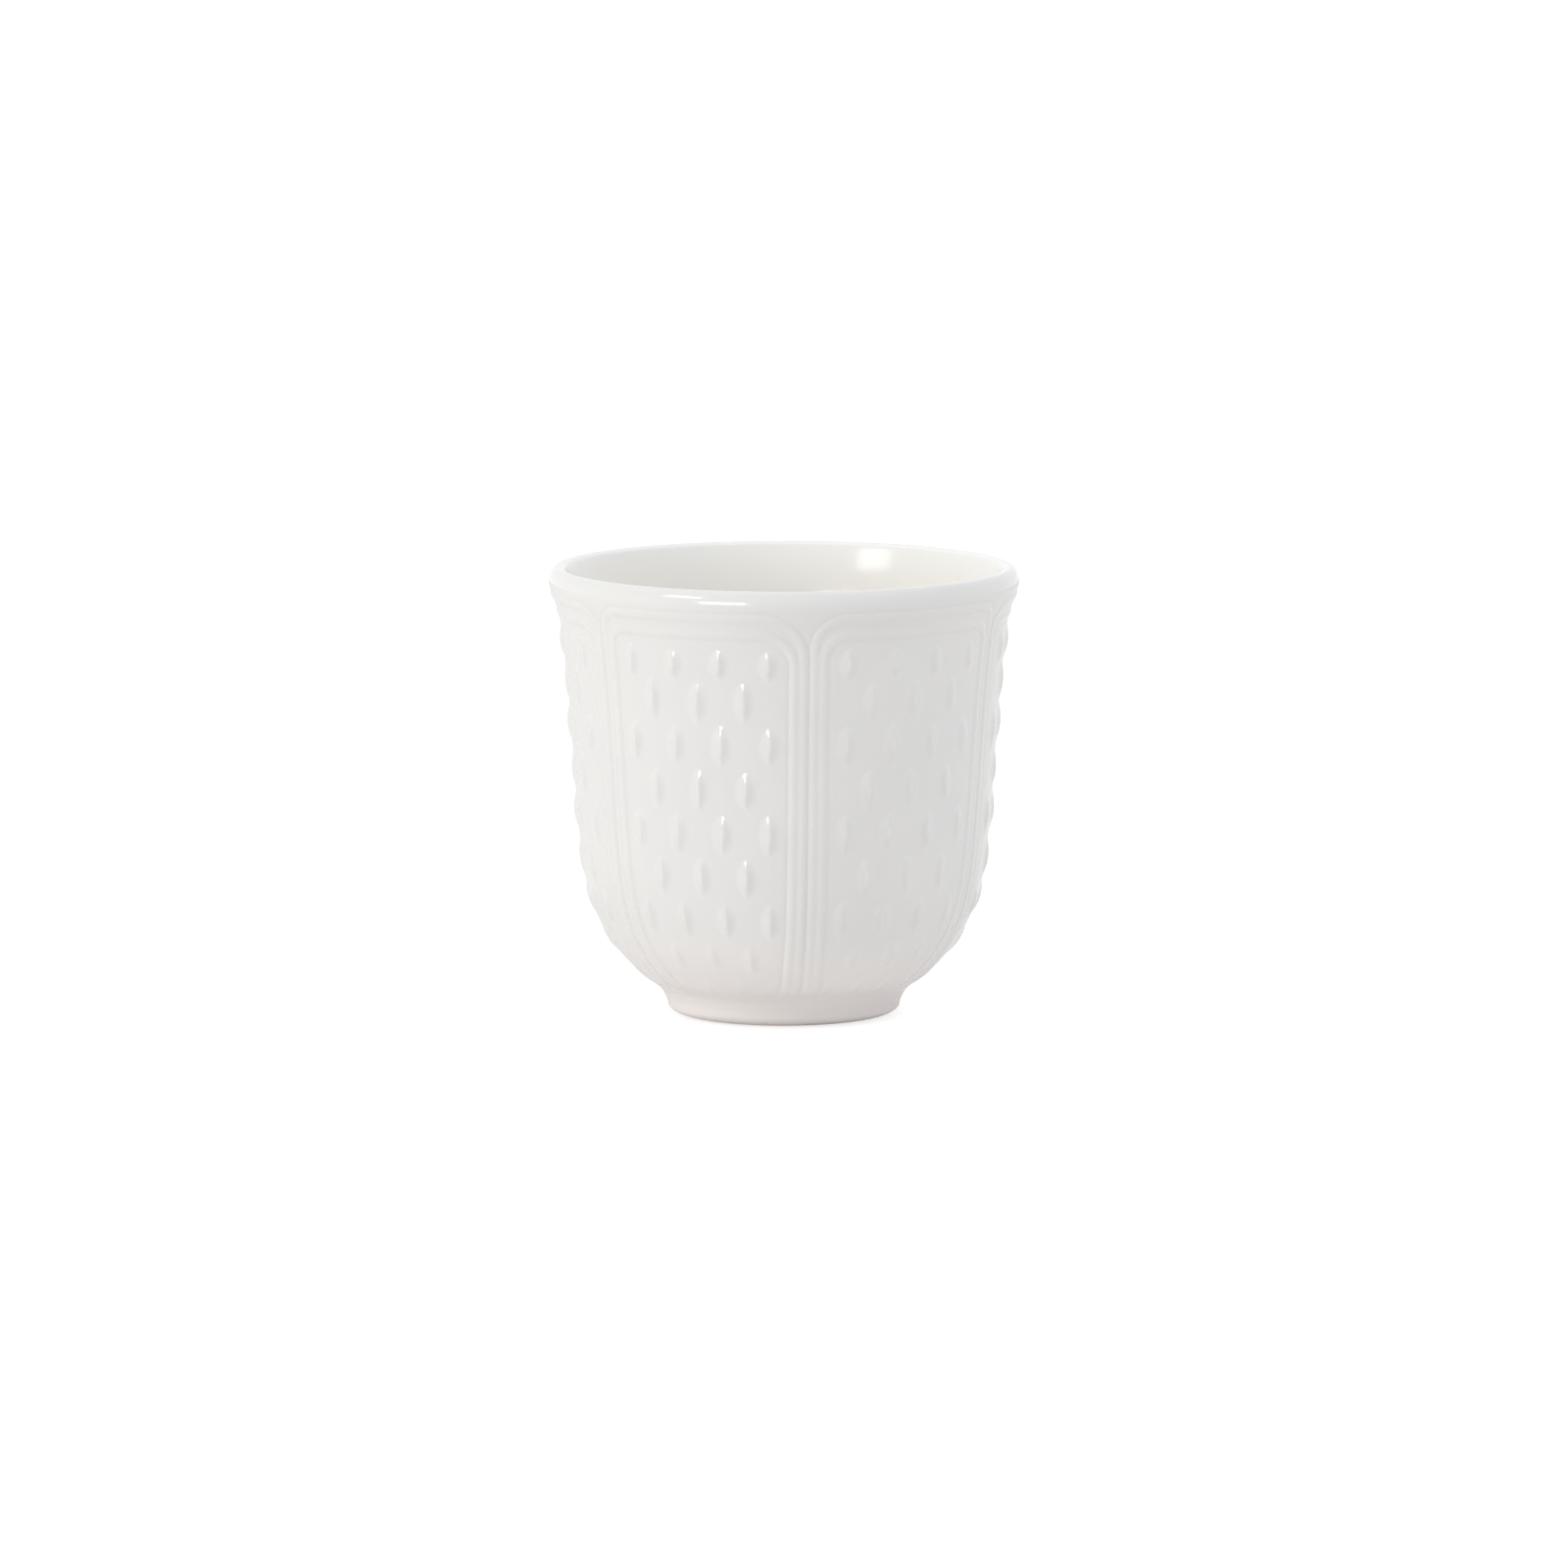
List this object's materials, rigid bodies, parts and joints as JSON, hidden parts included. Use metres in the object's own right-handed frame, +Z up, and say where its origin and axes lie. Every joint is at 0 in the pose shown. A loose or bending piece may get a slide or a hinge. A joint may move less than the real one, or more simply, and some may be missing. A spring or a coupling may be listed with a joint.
{
  "type": "espresso cup",
  "caption": "Small handleless cup with a flared lip, a low foot ring and arched panels of raised grains framed by double ribs, in white glazed ceramic.",
  "frame": {"origin": "centre of the foot ring's standing face, on the table", "axes": "+Z up along the cup's axis, towards the lip; a seam between two panels faces -Y"},
  "size_m": [0.0654, 0.0654, 0.0628],
  "materials": {
    "white_glaze": "milky white gloss glaze over pale clay",
    "ivory_glaze": "slightly ivory gloss glaze",
    "foot_clay": "glazed outside, bare fired clay on the standing edge"
  },
  "bodies": {
    "root": {"bowl": "white_glaze", "foot_ring": "foot_clay", "inner_glaze": "ivory_glaze", "panel_1_frame": "white_glaze", "panel_2_frame": "white_glaze", "panel_3_frame": "white_glaze", "panel_4_frame": "white_glaze", "panel_5_frame": "white_glaze", "panel_6_frame": "white_glaze", "panel_1_grains": "white_glaze", "panel_2_grains": "white_glaze", "panel_3_grains": "white_glaze", "panel_4_grains": "white_glaze", "panel_5_grains": "white_glaze", "panel_6_grains": "white_glaze"}
  },
  "joints": []
}
